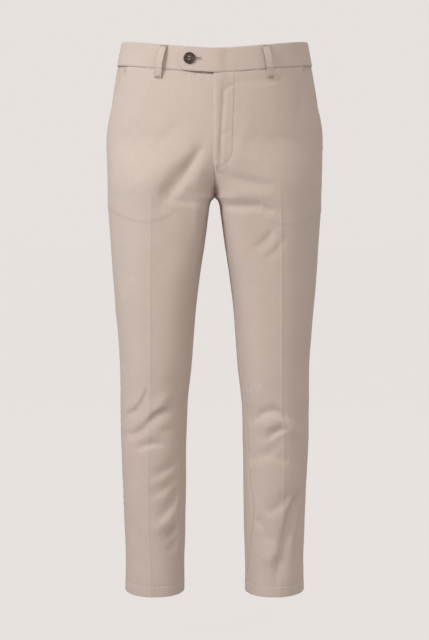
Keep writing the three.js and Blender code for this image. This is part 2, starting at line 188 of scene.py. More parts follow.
folds = {
    "front_right": [
        (-.0215, -.188, -.0520, -.238, .0054, .0092, 0, -.3),
        (-.0440, -.226, -.0880, -.280, .0076, .0140, 0, -.2),
        (-.0520, -.264, -.0200, -.279, .0026, .0100, 0, 0),
        (-.0840, -.280, -.0140, -.287, .0028, .0080, .001, .15),
        (-.0100, -.204, -.0340, -.250, -.0016, .0080, 0, 0),
        (-.031, -.288, -.031, -.350, -.0024, .0090, 0, 0),
        (-.094, -.179, -.056, -.150, .0013, .0100, .004, 0),
        (-.165, -.192, -.132, -.148, .0012, .0100, .004, 0),
        (-.140, -.240, -.080, -.196, .0010, .0120, .006, 0),
        (-.118, -.611, -.156, -.662, .0048, .0081, .006, .4),
        (-.108, -.606, -.148, -.650, -.0021, .0108, .006, 0),
        (-.083, -.620, -.106, -.654, -.0032, .0108, 0, 0),
        (-.084, -.648, -.118, -.673, .0063, .0084, -.004, .4),
        (-.116, -.671, -.156, -.697, .0039, .0088, .004, .3),
        (-.138, -.719, -.091, -.710, .0044, .0081, .003, .3),
        (-.100, -.690, -.072, -.684, .0021, .0095, 0, 0),
        (-.109, -.768, -.063, -.740, .0034, .0101, -.004, .3),
        (-.113, -.802, -.067, -.770, .0034, .0101, -.005, .2),
        (-.099, -.848, -.065, -.794, .0041, .0101, -.005, .3),
        (-.084, -.881, -.062, -.858, .0053, .0084, -.003, .4),
        (-.110, -.865, -.071, -.835, -.0025, .0115, -.003, 0),
        (-.080, -.907, -.067, -.878, .0034, .0095, -.002, .3),
        (-.128, -.900, -.146, -.842, .0014, .0121, .004, 0),
    ],
    "front_left": [
        (.016, -.236, .104, -.254, .0034, .0110, -.004, -.1),
        (.012, -.288, .080, -.290, .0046, .0085, -.002, .15),
        (.084, -.291, .104, -.299, .0022, .0060, 0, 0),
        (.030, -.268, .100, -.272, -.0016, .0105, 0, 0),
        (.103, -.328, .070, -.362, .0024, .0080, .004, .2),
        (.122, -.342, .088, -.382, .0018, .0080, .004, .2),
        (.056, -.150, .034, -.222, -.0012, .0110, 0, 0),
        (.0156, -.078, .0122, -.146, .0020, .0042, .0004, .1),
        (.0124, -.136, .0096, -.221, .0022, .0036, -.0004, .1),
        (.0150, -.094, .0330, -.081, .0013, .0040, .001, 0),
        (.0130, -.170, .0270, -.160, .0010, .0040, .001, 0),
        (.035, -.077, .115, -.073, .0011, .0065, -.002, .2),
        (.150, -.078, .146, -.132, .0016, .0080, .003, 0),
        (.178, -.200, .176, -.300, .0014, .0080, 0, 0),
        (.060, -.644, .081, -.602, -.0025, .0115, 0, 0),
        (.150, -.606, .163, -.642, -.0025, .0081, 0, 0),
        (.070, -.670, .130, -.666, .0052, .0088, .016, .2),
        (.080, -.676, .118, -.674, -.0023, .0121, 0, 0),
        (.095, -.700, .125, -.682, .0057, .0078, .002, .4),
        (.125, -.668, .158, -.700, -.0028, .0108, 0, 0),
        (.058, -.742, .115, -.709, .0028, .0108, -.005, .2),
        (.088, -.730, .132, -.741, .0025, .0088, 0, .2),
        (.092, -.837, .136, -.799, .0034, .0108, -.004, .3),
        (.073, -.845, .091, -.876, .0034, .0095, .002, .3),
        (.086, -.922, .123, -.892, -.0032, .0121, -.003, 0),
        (.083, -.884, .104, -.876, .0025, .0095, 0, 0),
        (.159, -.796, .112, -.952, .0078, .0112, -.006, .1),
        (.170, -.812, .148, -.926, .0041, .0078, -.006, .3),
        (.148, -.808, .128, -.888, .0030, .0074, -.004, .2),
    ],
    "back_right": [
        (-.020, -.292, -.112, -.318, .0048, .0085, -.008, .3),
        (-.026, -.312, -.086, -.344, .0030, .0085, -.006, .2),
        (-.040, -.262, -.108, -.238, .0020, .0110, -.006, 0),
        (-.012, -.230, -.060, -.196, .0014, .0100, 0, 0),
        (-.078, -.632, -.150, -.660, .0048, .0101, -.006, .3),
        (-.150, -.634, -.092, -.690, .0046, .0095, .006, .3),
        (-.074, -.700, -.140, -.716, .0034, .0101, .005, .2),
        (-.090, -.750, -.146, -.736, .0023, .0115, 0, 0),
        (-.066, -.846, -.104, -.902, .0034, .0108, .005, .2),
        (-.150, -.830, -.118, -.890, .0025, .0108, .004, .2),
        (-.130, -.420, -.096, -.500, .0012, .0120, .006, 0),
    ],
    "back_left": [
        (.022, -.296, .106, -.330, .0046, .0085, .008, .3),
        (.030, -.320, .092, -.356, .0026, .0090, .006, .2),
        (.044, -.256, .114, -.244, .0018, .0110, .006, 0),
        (.016, -.222, .066, -.182, .0014, .0100, 0, 0),
        (.152, -.624, .082, -.664, .0051, .0101, -.006, .3),
        (.072, -.650, .136, -.694, .0039, .0095, .006, .3),
        (.080, -.722, .150, -.712, .0034, .0101, .005, .2),
        (.094, -.768, .140, -.744, .0023, .0115, 0, 0),
        (.152, -.842, .114, -.912, .0034, .0108, .005, .2),
        (.070, -.862, .098, -.914, .0025, .0108, .004, .2),
        (.120, -.440, .094, -.520, .0012, .0120, .006, 0),
    ],
}


def foldDepth(name, x, z):
    total = np.zeros_like(x)
    for x0, z0, x1, z1, depth, reach, bow, lean in folds.get(name, []):
        dx, dz = x1 - x0, z1 - z0
        length = math.hypot(dx, dz)
        s = ((x - x0) * dx + (z - z0) * dz) / length**2
        bent = bow * 4 * np.clip(s, 0, 1) * (1 - np.clip(s, 0, 1))
        off = ((x - x0) * -dz + (z - z0) * dx) / length - bent
        width = reach * np.where(off > 0, 1 + lean, 1 - lean)
        past = np.maximum(np.maximum(-s, s - 1), 0) * length
        body = np.clip(np.sin(math.pi * np.clip(s, 0, 1)), 0, 1) ** .6 * .75 + .25
        total += depth * body * np.exp(-(off / width) ** 2 - (past / (1.3 * reach)) ** 2)
    return total


def rumple(x, y, z, size, seed):  # a quiet, uneven waviness made of crossed waves
    total = 0
    for k in range(7):
        a = seed * 1.7 + k * 2.399
        wave = 2 * math.pi / (size * (.7 + .19 * k))
        ux, uy, uz = math.cos(a), math.sin(a * 1.3) * .7, math.sin(a)
        bend = 1.5 * np.sin(wave * .43 * (z * ux - x * uz))
        total = total + np.sin(wave * (x * ux + y * uy + z * uz) + a * 5 + bend)
    return total / 7


def pucker(run, away, reach, pitch, seed):  # small gathers beside a line of stitches
    wave = 2 * math.pi / pitch
    gathers = np.sin(wave * run + seed + 1.8 * np.sin(wave * .23 * run + seed * 2))
    return gathers * np.exp(-away / reach)


# Panels.

panelFinish = {  # heights and reaches of what sewing and pressing leave on the cloth
    "foldFade": .008, "rumple": .0007, "wave": .085, "fineWave": .024, "pucker": .00022,
    "seamSink": .0010, "seamReach": .0016, "allowance": .0004, "allowanceEnds": (.0125, .0095),
    "waistSink": .0011, "waistReach": .0018, "waistPucker": .0004,
    "hemStep": .0003, "hemSink": .0005, "hemPucker": .00025,
    "bagStep": .0007, "mouthLip": .0026, "mouthRise": .0010, "mouthStitch": .0052, "mouthSink": .0007,
    "lap": .0019, "lapRun": .0300, "lapRoll": .0012, "jSink": .0010, "jStep": .0004, "jPucker": .0004,
    "underSink": .0021, "tabTuck": .0034,
}


def centreAcross(level):
    return cut["flyAcross"] * smooth(level, cut["flyMerge"], cut["flyEnd"])


def innerEdge(face, side, level):  # the turn at the centre seam or, on the leg, at the inseam
    level = np.asarray(level, float)
    centre, half, _ = legOval(face, level)
    off = side * (centreAcross(level) + .0004) if face == "front" else side * -.0004 + np.zeros_like(level)
    if face == "front" and side < 0:  # the right front goes on under the lap
        off = off - cut["underLap"] * smooth(level, *cut["underEnds"])
    swing = along(inseamSwing, "left" if side > 0 else "right", level)
    seam = turnAtShare(swing / half - 1, level)
    back = -1 if face == "front" else 1
    legTurn = seam + back * cut["gap"] / turnSpeed("front", seam, level)
    trunkTurn = turnAcross(face, level, off + cut["gap"])
    onTrunk = (level > cut["saddle"]) & (centre - half < off - 2 * cut["gap"])
    return np.where(onTrunk, trunkTurn, legTurn)


def pocketSlant(level):
    top = -cut["bandHeight"]
    return cut["pocketTop"] * np.clip((level - cut["pocketEnd"]) / (top - cut["pocketEnd"]), 0, 1)


def sideEdge(face, level):
    level = np.asarray(level, float)
    if face == "back":
        return 2 * math.pi - cut["gap"] / turnSpeed(face, 2 * math.pi, level)
    return (pocketSlant(level) + cut["gap"]) / turnSpeed(face, 0, level)


def bagImprint(side, x, z):  # the pocket bag's edge shows through the front as a low step
    across = np.abs(x)
    low, middle, innerSide = (-.317, .122, .072) if side < 0 else (-.322, .128, .090)
    bottom = low + .020 * np.clip((across - middle) / .060, -1, 1) ** 2
    inside = smooth(z, bottom - .0012, bottom + .0022) * smooth(across, innerSide - .012, innerSide + .012)
    return inside * (1 - smooth(z, bottom + .003, bottom + .034))


def mouthHeight(level, toSide):  # the pocket mouth stands a little open, with stitches beside its edge
    finish = panelFinish
    share = (cut["pocketEnd"] - level) / (cut["pocketEnd"] + cut["bandHeight"])
    opened = np.sin(math.pi * np.clip(share, 0, 1))
    sewn = np.exp(-((toSide - finish["mouthStitch"]) / .0011) ** 2)
    onMouth = smooth(level, cut["pocketEnd"] - .004, cut["pocketEnd"])
    lip = finish["mouthLip"] * smooth(toSide, .0100, .0006) + finish["mouthRise"]
    return opened * lip - finish["mouthSink"] * sewn * onMouth


def lapHeight(x, z, toInner, onFly):  # the lapped fly edge, and the J of stitches that holds it
    finish = panelFinish
    inside = flyInside(x, z)
    roll = finish["lapRoll"] * np.exp(-(toInner / .0015) ** 2)
    height = (finish["lap"] * smooth(toInner, finish["lapRun"], .0030) - roll) * onFly
    height -= finish["jSink"] * np.exp(-(inside / .0012) ** 2) * smooth(z, -.236, -.224)
    height += finish["jStep"] * smooth(inside, -.0005, .0012) * onFly
    return height + finish["jPucker"] * pucker(z + x, np.abs(inside), .005, .011, 8) * onFly


def panelHeight(name, face, side, turn, level, point):  # how far the finished cloth stands off the plain form
    x, y, z = point[..., 0], point[..., 1], point[..., 2]
    toSide = np.abs(turn - sideEdge(face, level)) * turnSpeed(face, sideEdge(face, level), level)
    inner = innerEdge(face, side, level)
    toInner = np.abs(turn - inner) * turnSpeed(face, inner, level)
    toHem = level - cut["hem"]
    toBand = -cut["bandHeight"] - level
    finish = panelFinish
    height = -foldDepth(name, x, z) * smooth(np.minimum(toSide, toInner), 0, finish["foldFade"])
    height += finish["rumple"] * rumple(x, y, z, finish["wave"], 11)
    height += finish["rumple"] * .25 * rumple(x, y, z, finish["fineWave"], 21)
    onFly = smooth(z, -.236, -.218) if face == "front" else np.zeros_like(z)
    for away, seed in ((toSide, 1.0), (toInner + .1 * onFly, 4.0)):
        height -= finish["seamSink"] * np.exp(-(away / finish["seamReach"]) ** 2)
        height += finish["allowance"] * smooth(away, *finish["allowanceEnds"])
        height += finish["pucker"] * pucker(level, away, .009, .013, seed)
    height -= finish["waistSink"] * np.exp(-(np.maximum(toBand, 0) / finish["waistReach"]) ** 2)
    height += finish["waistPucker"] * pucker(x, np.maximum(toBand, 0), .012, .023, 2 + side)
    height += finish["hemStep"] * smooth(toHem, cut["hemDepth"] + .0012, cut["hemDepth"] - .0010)
    height -= finish["hemSink"] * np.exp(-((toHem - cut["hemDepth"]) / .0012) ** 2)
    height += finish["hemPucker"] * pucker(x + y, np.abs(toHem - cut["hemDepth"]), .006, .011, 3 + side)
    if face == "front":
        height += finish["bagStep"] * bagImprint(side, x, z) + mouthHeight(level, toSide)
        if side > 0:
            height += lapHeight(x, z, toInner, onFly)
        else:  # it slips under the other front, and its top edge tucks in under the tab
            under = (1 - onFly) * smooth(toInner, .0062, .0044) * smooth(z, *cut["underEnds"])
            tucked = np.exp(-(np.maximum(toBand, 0) / .0028) ** 2) * smooth(x, -.046, -.036)
            height -= finish["underSink"] * under + finish["tabTuck"] * tucked
    return height


flyCurve = {"level": -.190, "across": .0315, "flare": .0034, "drop": .0330}


def flyStitchAcross(z):
    return flyCurve["across"] + flyCurve["flare"] * smooth(z, flyCurve["level"], -.060)


def flyInside(x, z):  # how far a point lies inside the J of stitches
    bend = np.hypot(x / flyCurve["across"], np.minimum(z - flyCurve["level"], 0) / flyCurve["drop"])
    return np.where(z > flyCurve["level"], flyStitchAcross(z) - x, (1 - bend) * flyCurve["across"])


def clothAt(name, face, side, turn, level, lift=0):
    point = barePoint(side, turn, level)
    normal = outward(side, turn, level)
    height = panelHeight(name, face, side, turn, level, point) + lift
    return point + normal * height[..., None], normal


def makeMesh(name, vertices, faces, uvs=None):
    mesh = bpy.data.meshes.new(name)
    mesh.from_pydata(vertices.tolist(), [], faces)
    mesh.validate()
    mesh.polygons.foreach_set("use_smooth", np.ones(len(mesh.polygons), bool))
    if uvs is not None:
        layer = mesh.uv_layers.new(name="clothUv")
        corners = np.empty(len(mesh.loops), np.int32)
        mesh.loops.foreach_get("vertex_index", corners)
        layer.data.foreach_set("uv", uvs[corners].ravel())
    mesh.update()
    piece = bpy.data.objects.new(name, mesh)
    bpy.context.scene.collection.objects.link(piece)
    return piece


def wallMesh(name, outer, inner, uv):  # a closed wall from two odd-sized grids, the inside half as fine
    rows, columns = outer.shape[:2]
    index = np.arange(rows * columns).reshape(rows, columns)
    within = index[::2, ::2]
    insideIndex = np.arange(within.size).reshape(within.shape) + index.size
    loop, insideLoop = gridLoop(index), gridLoop(insideIndex)
    start, middle, end = loop[::2], loop[1::2], np.roll(loop, -2)[::2]
    rim = np.stack([start, insideLoop, np.roll(insideLoop, -1), end, middle], -1)
    outside, inside = gridFaces(index), gridFaces(insideIndex)[:, ::-1]
    faces = [*outside.tolist(), *inside.tolist(), *rim.tolist()]
    vertices = np.concatenate([outer.reshape(-1, 3), inner[::2, ::2].reshape(-1, 3)])
    uvs = np.concatenate([uv.reshape(-1, 2), uv[::2, ::2].reshape(-1, 2)])
    if signedVolume(vertices, np.concatenate([outside, inside, rim[:, :4]])) < 0:
        faces = [face[::-1] for face in faces]
    return makeMesh(name, vertices, faces, uvs)


def gridFaces(index):
    corners = index[:-1, :-1], index[1:, :-1], index[1:, 1:], index[:-1, 1:]
    return np.stack(corners, -1).reshape(-1, 4)


def gridLoop(index):
    return np.concatenate([index[:, 0], index[-1, 1:], index[-2::-1, -1], index[0, -2:0:-1]])


def signedVolume(v, f):
    a, b, c, d = (v[f[:, i]] for i in range(4))
    return float(((a * np.cross(b, c)).sum() + (a * np.cross(c, d)).sum()) / 6)


def gridUv(points, originColumn):  # lengths along the cloth, so that the weave runs true
    across = np.linalg.norm(np.diff(points, axis=1), axis=-1)
    u = np.concatenate([np.zeros((len(points), 1)), np.cumsum(across, axis=1)], axis=1)
    u = u - u[:, originColumn:originColumn + 1]
    down = np.linalg.norm(np.diff(points, axis=0), axis=-1).mean(1)
    v = -np.concatenate([[0], np.cumsum(down)])
    return np.stack([u, np.broadcast_to(v[:, None], u.shape)], -1)


def columnShares(count):  # 0 to 1, closer together near 0
    return np.linspace(0, 1, count) ** 1.45


def finishCloth(piece, name):
    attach(piece, root)
    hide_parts(name)
    return piece


panelGrid = {
    "front": {"rowPitch": .0023, "outer": 60, "inner": 90},
    "back": {"rowPitch": .0033, "outer": 50, "inner": 50},
    "topRows": (0, .0008, .0018), "saddleRows": (.0001, .0006, .0015, .003),
    "hemRows": (.0225, .0208, .0198, .0190, .0182, .0170, .015, .012, .009, .006, .003, .001, 0),
}
panelThick = {"seamExtra": .0010, "seamEnds": (.0130, .0120), "hemExtra": .0012, "hemEnds": (.0035, .0025)}


def panelLevels(face):  # rows down a panel, closer at the waist seam, the saddle and the hem
    top = -cut["bandHeight"] - cut["gap"]
    pitch = panelGrid[face]["rowPitch"]
    down = np.concatenate([panelGrid["topRows"], np.arange(.003, top - cut["hem"] - .026, pitch)])
    near = np.array(panelGrid["saddleRows"])
    down = np.sort(np.concatenate([down, top - cut["saddle"] - near, top - cut["saddle"] + near]))
    down = down[:len(down) - len(down) % 2]
    return np.concatenate([top - down, cut["hem"] + np.array(panelGrid["hemRows"])])


def addPanel(face, side):
    name = handed(face, side)
    level = panelLevels(face)
    start, end = sideEdge(face, level), innerEdge(face, side, level)
    crease = turnAcross(face, level, creaseAcross(side, level))
    outerShare = 1 - columnShares(panelGrid[face]["outer"])[::-1]
    innerShare = columnShares(panelGrid[face]["inner"])[1:]
    turn = np.concatenate([
        start[:, None] + (crease - start)[:, None] * outerShare,
        crease[:, None] + (end - crease)[:, None] * innerShare], axis=1)
    levels = np.broadcast_to(level[:, None], turn.shape)
    outer, normal = clothAt(name, face, side, turn, levels)
    toHem = levels - cut["hem"]
    toEdge = np.minimum(np.abs(turn - start[:, None]), np.abs(turn - end[:, None]))
    toEdge = toEdge * turnSpeed(face, turn, levels)
    thick = cut["wall"] + panelThick["hemExtra"] * smooth(toHem - cut["hemDepth"], *panelThick["hemEnds"])
    thick += panelThick["seamExtra"] * smooth(toEdge, *panelThick["seamEnds"])
    inner = outer - normal * thick[..., None]
    onTrunk = level > cut["saddle"]
    seamX = barePoint(side, end, level)[onTrunk, 0] - side * .9 * cut["gap"]
    outer[onTrunk, -1, 0] = inner[onTrunk, -1, 0] = seamX
    uv = gridUv(outer, panelGrid[face]["outer"] - 1)
    return finishCloth(wallMesh("cloth_" + name, outer, inner, uv), name)


# Pocket facings.

facingSize = {
    "underlap": .012, "beneath": .0042, "atEnds": .0028, "seamSink": .0009, "rows": 61, "columns": 31,
}


def addFacing(side):
    size = facingSize
    level = np.linspace(-cut["bandHeight"] - cut["gap"], cut["pocketEnd"], size["rows"])
    speed = turnSpeed("front", 0, level)
    end = (pocketSlant(level) + size["underlap"]) / speed
    turn = cut["gap"] / speed[:, None] + end[:, None] * np.linspace(0, 1, size["columns"])
    levels = np.broadcast_to(level[:, None], turn.shape)
    away = turn * turnSpeed("front", 0, levels)
    opened = np.sin(math.pi * np.linspace(0, 1, size["rows"]))[:, None] ** .6
    beneath = size["atEnds"] + (size["beneath"] - size["atEnds"]) * opened
    drop = -beneath * smooth(away, 0, .006) - size["seamSink"] * np.exp(-(away / .0016) ** 2)
    normal = outward(side, turn, levels)
    outer = barePoint(side, turn, levels) + normal * drop[..., None]
    name = handed("pocket_facing", side)
    return finishCloth(wallMesh("cloth_" + name, outer, outer - normal * cut["wall"], gridUv(outer, 0)), name)


# Waistband.

band = {
    "columns": 210, "easeColumns": 19, "rows": 35, "roll": .0009, "rollReach": .0014,
    "rumple": .00045, "pucker": .00028, "tuck": .0034,
}
tab = {"reach": .061, "shoulder": .047, "pointHalf": .0065, "riseFrom": .024, "lift": .0029, "columns": 61}
bandMiddle = -cut["bandHeight"] / 2


def bandAcross(turn):
    return legOval("front", np.full_like(turn, bandMiddle))[1] * ovalShares(turn, bandMiddle)[0]


def tabLift(turn):
    return np.where(turn > 0, tab["lift"] * smooth(-bandAcross(turn), -tab["riseFrom"], cut["flyAcross"]), 0)


def tabHalf(turn):
    past = np.clip((-bandAcross(turn) - tab["shoulder"]) / (tab["reach"] - tab["shoulder"]), 0, 1)
    return tab["pointHalf"] + (cut["bandHeight"] / 2 - tab["pointHalf"]) * np.sqrt(1 - past**2)


def bandSurface(side, turn, share):  # share is 0 at the upper edge and 1 at the lower one
    half = tabHalf(turn) if side > 0 else np.full_like(turn, cut["bandHeight"] / 2)
    level = bandMiddle + half * (1 - 2 * share)
    point, normal = barePoint(side, turn, level), outward(side, turn, level)
    edge = half * 2 * np.minimum(share, 1 - share)
    low = half * 2 * (1 - share)
    x, y, z = point[..., 0], point[..., 1], point[..., 2]
    height = cut["bandProud"] - band["roll"] * np.exp(-(edge / band["rollReach"]) ** 2)
    height += band["rumple"] * rumple(x, y, z, .060, 5 + side)
    height += band["pucker"] * pucker(x + y, low, .008, .015, 6 + side)
    if side > 0:
        height = height + tabLift(turn)
    else:  # the lower edge leaves room under the tab
        height -= band["tuck"] * np.exp(-(low / .0035) ** 2) * smooth(x, -.046, -.036)
    return point + normal * height[..., None], normal, edge


def addBand(side):
    name = handed("waistband", side)
    back = turnAcross("back", bandMiddle, cut["gap"]) - 2 * math.pi
    if side < 0:
        turns = np.linspace(back, turnAcross("front", bandMiddle, .0003), band["columns"] + 1)
    else:
        rise = turnAcross("front", bandMiddle, tab["riseFrom"])
        tip = turnAcross("front", bandMiddle, -tab["reach"])
        ease = np.sin(np.linspace(0, math.pi / 2, tab["columns"]))[1:]
        turns = np.linspace(back, rise, band["columns"] - band["easeColumns"])
        turns = np.concatenate([turns, rise + (tip - rise) * ease])
    even = np.linspace(0, 1, band["rows"])
    turn, shares = np.meshgrid(turns, .25 - .25 * np.cos(math.pi * even) + .5 * even)
    outer, normal, edge = bandSurface(side, turn, shares)
    thick = cut["bandWall"] - 2 * band["roll"] * np.exp(-(edge / band["rollReach"]) ** 2)
    piece = wallMesh("cloth_" + name, outer, outer - normal * thick[..., None], gridUv(outer, 0))
    if side > 0:
        cutButtonhole(piece)
    return finishCloth(piece, name)


def bandFrame(across, level, lift):  # local X along the band, local Y up it, local Z out of it
    turn = np.array(turnAcross("front", np.array(level), across))
    share = np.array((bandMiddle + cut["bandHeight"] / 2 - level) / cut["bandHeight"])
    point, normal, _ = bandSurface(1, turn, share)
    out = Vector(normal)
    sideways = Vector((0, 0, 1)).cross(out).normalized()
    sideways = sideways if sideways.x > 0 else -sideways
    place = Matrix((sideways, out.cross(sideways), out)).transposed().to_4x4()
    place.translation = Vector(point) + out * lift
    return place


# Button and buttonhole.

buttonSize = {
    "across": -.0425, "level": -.021, "radius": .0100, "thick": .0034, "rim": .0021, "dish": .0011,
    "dishEdge": .0009, "middle": .0030, "middleRise": .0002, "round": .0005, "holeRound": .00022,
    "holeRadius": .00095, "holeSpread": .0021, "seat": .0005, "sides": 64, "holeSides": 24,
}
buttonholeSize = {"eyelet": .0019, "slitHalf": .0004, "slitEnd": .0185, "cutterDepth": .02}


def deselectAll():
    bpy.ops.object.select_all(action="DESELECT")


def select(piece):
    deselectAll()
    piece.select_set(True)
    bpy.context.view_layer.objects.active = piece


def applyModifier(piece, kind, **settings):
    modifier = piece.modifiers.new(kind.lower(), kind)
    for key, value in settings.items():
        setattr(modifier, key, value)
    select(piece)
    bpy.ops.object.modifier_apply(modifier=modifier.name)


def placeMesh(piece, matrix):  # the place goes into the mesh
    piece.data.transform(matrix @ piece.matrix_world)
    piece.matrix_world = Matrix.Identity(4)
    piece.data.update()


def addCylinder(name, radius, depth, sides, at=(0, 0, 0)):
    deselectAll()
    bpy.ops.mesh.primitive_cylinder_add(vertices=sides, radius=radius, depth=depth, location=at)
    piece = bpy.context.object
    piece.name = piece.data.name = name
    return piece


def cutAway(piece, cutter):
    applyModifier(piece, "BOOLEAN", object=cutter, operation="DIFFERENCE", solver="EXACT")
    bpy.data.objects.remove(cutter)


def cutButtonhole(piece):
    at = bandFrame(buttonSize["across"], buttonSize["level"], 0)
    depth, length = buttonholeSize["cutterDepth"], buttonholeSize["slitEnd"]
    eyelet = addCylinder("eyeletCutter", buttonholeSize["eyelet"], depth, buttonSize["holeSides"])
    deselectAll()
    width = 2 * buttonholeSize["slitHalf"]
    bpy.ops.mesh.primitive_cube_add(size=1, location=(length / 2, 0, 0), scale=(length, width, depth))
    for cutter in (eyelet, bpy.context.object):
        placeMesh(cutter, at)
        cutAway(piece, cutter)
    piece.data.polygons.foreach_set("use_smooth", np.ones(len(piece.data.polygons), bool))


def roundEdges(piece, width, segments, angle):
    limit = math.radians(angle)
    applyModifier(piece, "BEVEL", width=width, segments=segments, limit_method="ANGLE", angle_limit=limit)


def addButton():
    size = buttonSize
    middle = (0, 0, size["thick"] / 2)
    piece = addCylinder("waist_button", size["radius"], size["thick"], size["sides"], middle)
    bpy.ops.object.transform_apply(location=True, rotation=False, scale=False)
    bpy.ops.object.mode_set(mode="EDIT")
    bpy.ops.mesh.select_all(action="DESELECT")
    bpy.ops.object.mode_set(mode="OBJECT")
    for face in piece.data.polygons:
        face.select = face.normal.z > .9
    bpy.ops.object.mode_set(mode="EDIT")
    bpy.ops.mesh.select_mode(type="FACE")
    bpy.ops.mesh.inset(thickness=size["rim"])
    bpy.ops.mesh.inset(thickness=size["dishEdge"])
    bpy.ops.transform.translate(value=(0, 0, -size["dish"]))
    bpy.ops.mesh.inset(thickness=size["middle"])
    bpy.ops.transform.translate(value=(0, 0, size["middleRise"]))
    bpy.ops.mesh.select_all(action="DESELECT")
    bpy.ops.object.mode_set(mode="OBJECT")
    roundEdges(piece, size["round"], 4, 25)
    for x in (-1, 1):
        for y in (-1, 1):
            spot = (x * size["holeSpread"], y * size["holeSpread"], size["thick"] / 2)
            cutAway(piece, addCylinder("holeCutter", size["holeRadius"], .02, size["holeSides"], spot))
    roundEdges(piece, size["holeRound"], 2, 50)
    select(piece)
    bpy.ops.object.shade_smooth_by_angle(angle=math.radians(35))
    placeMesh(piece, bandFrame(size["across"], size["level"], size["seat"]))
    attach(piece, root)
    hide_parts("button")
    return piece


# Threads.

threadSize = {"pitch": .0030, "radius": .00025, "tackRadius": .00026, "tackRise": .0003}


def tubeAlong(points, radius, sides=6):  # vertices and faces of a closed tube through the points
    points = np.asarray(points, float)
    count = len(points)
    tangent = np.gradient(points, axis=0)
    tangent /= np.linalg.norm(tangent, axis=1, keepdims=True)
    helper = np.array([0, 0, 1.0]) if abs(tangent[0][2]) < .8 else np.array([1.0, 0, 0])
    first = np.cross(tangent, helper)
    first /= np.linalg.norm(first, axis=1, keepdims=True)
    second = np.cross(tangent, first)
    angle = np.arange(sides) * 2 * math.pi / sides
    width = radius * np.ones(count) if np.isscalar(radius) else np.asarray(radius)
    ring = first[:, None] * np.cos(angle)[None, :, None] + second[:, None] * np.sin(angle)[None, :, None]
    vertices = (points[:, None] + ring * width[:, None, None]).reshape(-1, 3)
    vertices = np.concatenate([vertices, points[:1], points[-1:]])
    low, high, last = count * sides, count * sides + 1, (count - 1) * sides
    faces = []
    for j in range(sides):
        k = (j + 1) % sides
        faces += [(i + j, i + k, i + sides + k, i + sides + j) for i in range(0, last, sides)]
        faces += [(low, k, j), (high, last + j, last + k)]
    return vertices, faces


class ThreadWork:  # gathers many short threads into one mesh
    def __init__(self):
        self.vertices, self.faces, self.count = [], [], 0

    def add(self, points, radius, sides=6):
        vertices, faces = tubeAlong(points, radius, sides)
        self.vertices.append(vertices)
        self.faces += [tuple(i + self.count for i in face) for face in faces]
        self.count += len(vertices)

    def build(self, name):
        mesh = bpy.data.meshes.new(name)
        mesh.from_pydata(np.concatenate(self.vertices).tolist(), [], self.faces)
        piece = bpy.data.objects.new(name, mesh)
        bpy.context.scene.collection.objects.link(piece)
        select(piece)
        bpy.ops.object.mode_set(mode="EDIT")
        bpy.ops.mesh.select_all(action="SELECT")
        bpy.ops.mesh.normals_make_consistent(inside=False)
        bpy.ops.object.mode_set(mode="OBJECT")
        mesh.polygons.foreach_set("use_smooth", np.ones(len(mesh.polygons), bool))
        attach(piece, root)
        return piece


stitchRise = np.array([-.00025, .00008, .00016, .00008, -.00025])
stitchTaper = np.array([.6, 1, 1, 1, .6])


def stitchLine(work, points, normals, pitch=threadSize["pitch"], radius=threadSize["radius"]):  # lockstitches
    points, normals = np.asarray(points), np.asarray(normals)
    lengths = np.concatenate([[0], np.cumsum(np.linalg.norm(np.diff(points, axis=0), axis=1))])
    count = max(int(lengths[-1] / pitch), 1)
    for i in range(count):
        s = (i + np.linspace(.10, .90, 5)) * lengths[-1] / count
        here = np.stack([np.interp(s, lengths, points[:, k]) for k in range(3)], 1)
        out = np.stack([np.interp(s, lengths, normals[:, k]) for k in range(3)], 1)
        work.add(here + out * stitchRise[:, None], radius * stitchTaper)


def barTack(work, centre, run, cross, out, length, width, turns):  # stitches laid across, side by side
    centre, run, cross, out = map(np.asarray, (centre, run, cross, out))
    rise = out * threadSize["tackRise"]
    for i in range(turns):
        place, half = centre + run * length * ((i + .5) / turns - .5), cross * width / 2
        start, end = place - half, place + half
        points = [start - rise, start + half * .3 + rise, end - half * .3 + rise, end - rise]
        work.add(points, threadSize["tackRadius"], 5)


# Belt loops.

loopSize = {
    "width": .0126, "thick": .0020, "bow": .006, "top": -.001, "belowSeam": .017, "rows": 61, "columns": 21,
    "seamShare": .66, "seamSink": .00028, "wave": .00018, "tackSize": (.0108, .0018), "tackTurns": 22,
}
loopPlaces = {  # the side, the face, and the distance from the middle at the top and at the bottom
    "belt_loop_front_right": (-1, "front", .0890, .0935), "belt_loop_front_left": (1, "front", .0885, .0925),
    "belt_loop_back_right": (-1, "back", .0905, .0935), "belt_loop_back_left": (1, "back", .0910, .0930),
    "belt_loop_centre_back": (1, "back", 0, 0),
}


def loopSurface(side, face, top, bottom, t, s):  # t runs down the loop, s across it from -1 to 1
    level = loopSize["top"] + t * (-cut["bandHeight"] - loopSize["belowSeam"] - loopSize["top"])
    middle = turnAcross(face, np.full_like(level, bandMiddle), top + (bottom - top) * t)
    turn = middle + s * loopSize["width"] / 2 / turnSpeed(face, middle, level)
    point, normal = barePoint(side, turn, level), outward(side, turn, level)
    onBand = smooth(level, -cut["bandHeight"] - .0006, -cut["bandHeight"] + .001)
    base = cut["bandProud"] * onBand + .0003
    base = base + loopSize["bow"] * np.clip(np.sin(math.pi * t), 0, 1) ** .8
    return point, normal, base


def rounded(share):  # 0 to 1 along a quarter of a circle
    return np.sqrt(np.clip(1 - (1 - share) ** 2, 0, 1))


